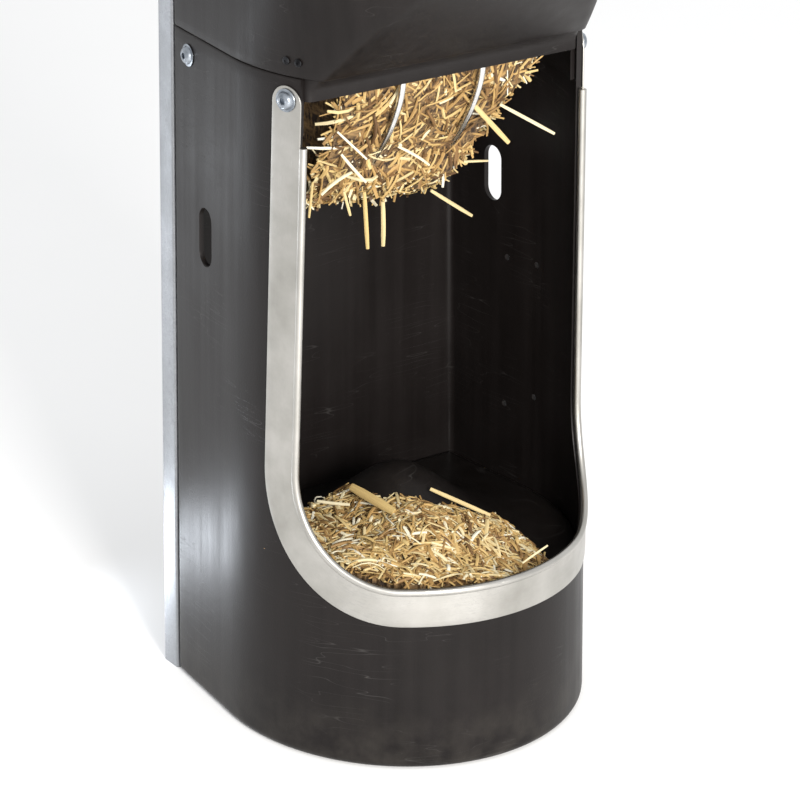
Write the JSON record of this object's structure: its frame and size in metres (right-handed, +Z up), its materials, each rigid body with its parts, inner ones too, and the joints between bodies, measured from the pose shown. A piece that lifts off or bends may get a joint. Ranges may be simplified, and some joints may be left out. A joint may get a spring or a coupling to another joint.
{
  "type": "hay rack feeder",
  "caption": "Tall D-shaped plastic hay feeder with a metal-edged feeding opening, hay rack bars, a nesting hopper with a hinged lid, and wall rails.",
  "frame": {"origin": "on the floor, under the middle of the bounding box", "axes": "+Z up, the round front with the feeding opening faces -Y, the flat back and its wall rails face +Y, +X is the right-hand side seen from the front"},
  "size_m": [0.4422, 0.5322, 1.2996],
  "materials": {
    "black_polyethylene": "semi-matt moulded polyethylene with fine handling scratches",
    "brushed_aluminium": "brushed sheet, cross-scratched on the bends",
    "zinc_plated_steel": "bright bluish zinc plate",
    "galvanised_steel": "dull galvanised",
    "stainless_steel": "smooth drawn stainless"
  },
  "bodies": {
    "root": {"hinge_leaf_body_left": "galvanised_steel", "hinge_leaf_body_right": "galvanised_steel", "hinge_pin_left": "zinc_plated_steel", "hinge_pin_right": "zinc_plated_steel", "hinge_rivet_body_left_1": "zinc_plated_steel", "hinge_rivet_body_left_2": "zinc_plated_steel", "hinge_rivet_body_right_1": "zinc_plated_steel", "hinge_rivet_body_right_2": "zinc_plated_steel", "hopper": "black_polyethylene", "lower_body": "black_polyethylene", "opening_edging": "brushed_aluminium", "rack_bar_left": "stainless_steel", "rack_bar_right": "stainless_steel", "rack_bolt_left": "zinc_plated_steel", "rack_bolt_right": "zinc_plated_steel", "rack_front_strap": "stainless_steel", "rack_nut_left": "zinc_plated_steel", "rack_nut_right": "zinc_plated_steel", "rack_rear_strap": "stainless_steel", "rail_bolt_lower_left": "zinc_plated_steel", "rail_bolt_lower_right": "zinc_plated_steel", "rail_bolt_upper_left": "zinc_plated_steel", "rail_bolt_upper_right": "zinc_plated_steel", "rail_nut_lower_left": "zinc_plated_steel", "rail_nut_lower_right": "zinc_plated_steel", "rail_nut_upper_left": "zinc_plated_steel", "rail_nut_upper_right": "zinc_plated_steel", "seam_bolt_back_left": "zinc_plated_steel", "seam_bolt_back_right": "zinc_plated_steel", "seam_bolt_front_left": "zinc_plated_steel", "seam_bolt_front_right": "zinc_plated_steel", "seam_nut_back_left": "zinc_plated_steel", "seam_nut_back_right": "zinc_plated_steel", "seam_nut_front_left": "zinc_plated_steel", "seam_nut_front_right": "zinc_plated_steel", "strap_rivet_inner_left": "zinc_plated_steel", "strap_rivet_inner_right": "zinc_plated_steel", "strap_rivet_outer_left": "zinc_plated_steel", "strap_rivet_outer_right": "zinc_plated_steel", "trough_tray": "black_polyethylene", "wall_rail_left": "galvanised_steel", "wall_rail_right": "galvanised_steel"},
    "lid": {"handle_rivet_left": "zinc_plated_steel", "handle_rivet_right": "zinc_plated_steel", "hinge_leaf_lid_left": "galvanised_steel", "hinge_leaf_lid_right": "galvanised_steel", "hinge_rivet_lid_left_1": "zinc_plated_steel", "hinge_rivet_lid_left_2": "zinc_plated_steel", "hinge_rivet_lid_right_1": "zinc_plated_steel", "hinge_rivet_lid_right_2": "zinc_plated_steel", "lid": "black_polyethylene", "lid_handle": "stainless_steel"}
  },
  "joints": [
    {"name": "lid_hinge", "type": "hinge", "parent": "root", "child": "lid", "pos_m": [0, 0.23908, 1.2721], "axis": [-1, 0, 0], "range_deg": [0, 92]}
  ]
}
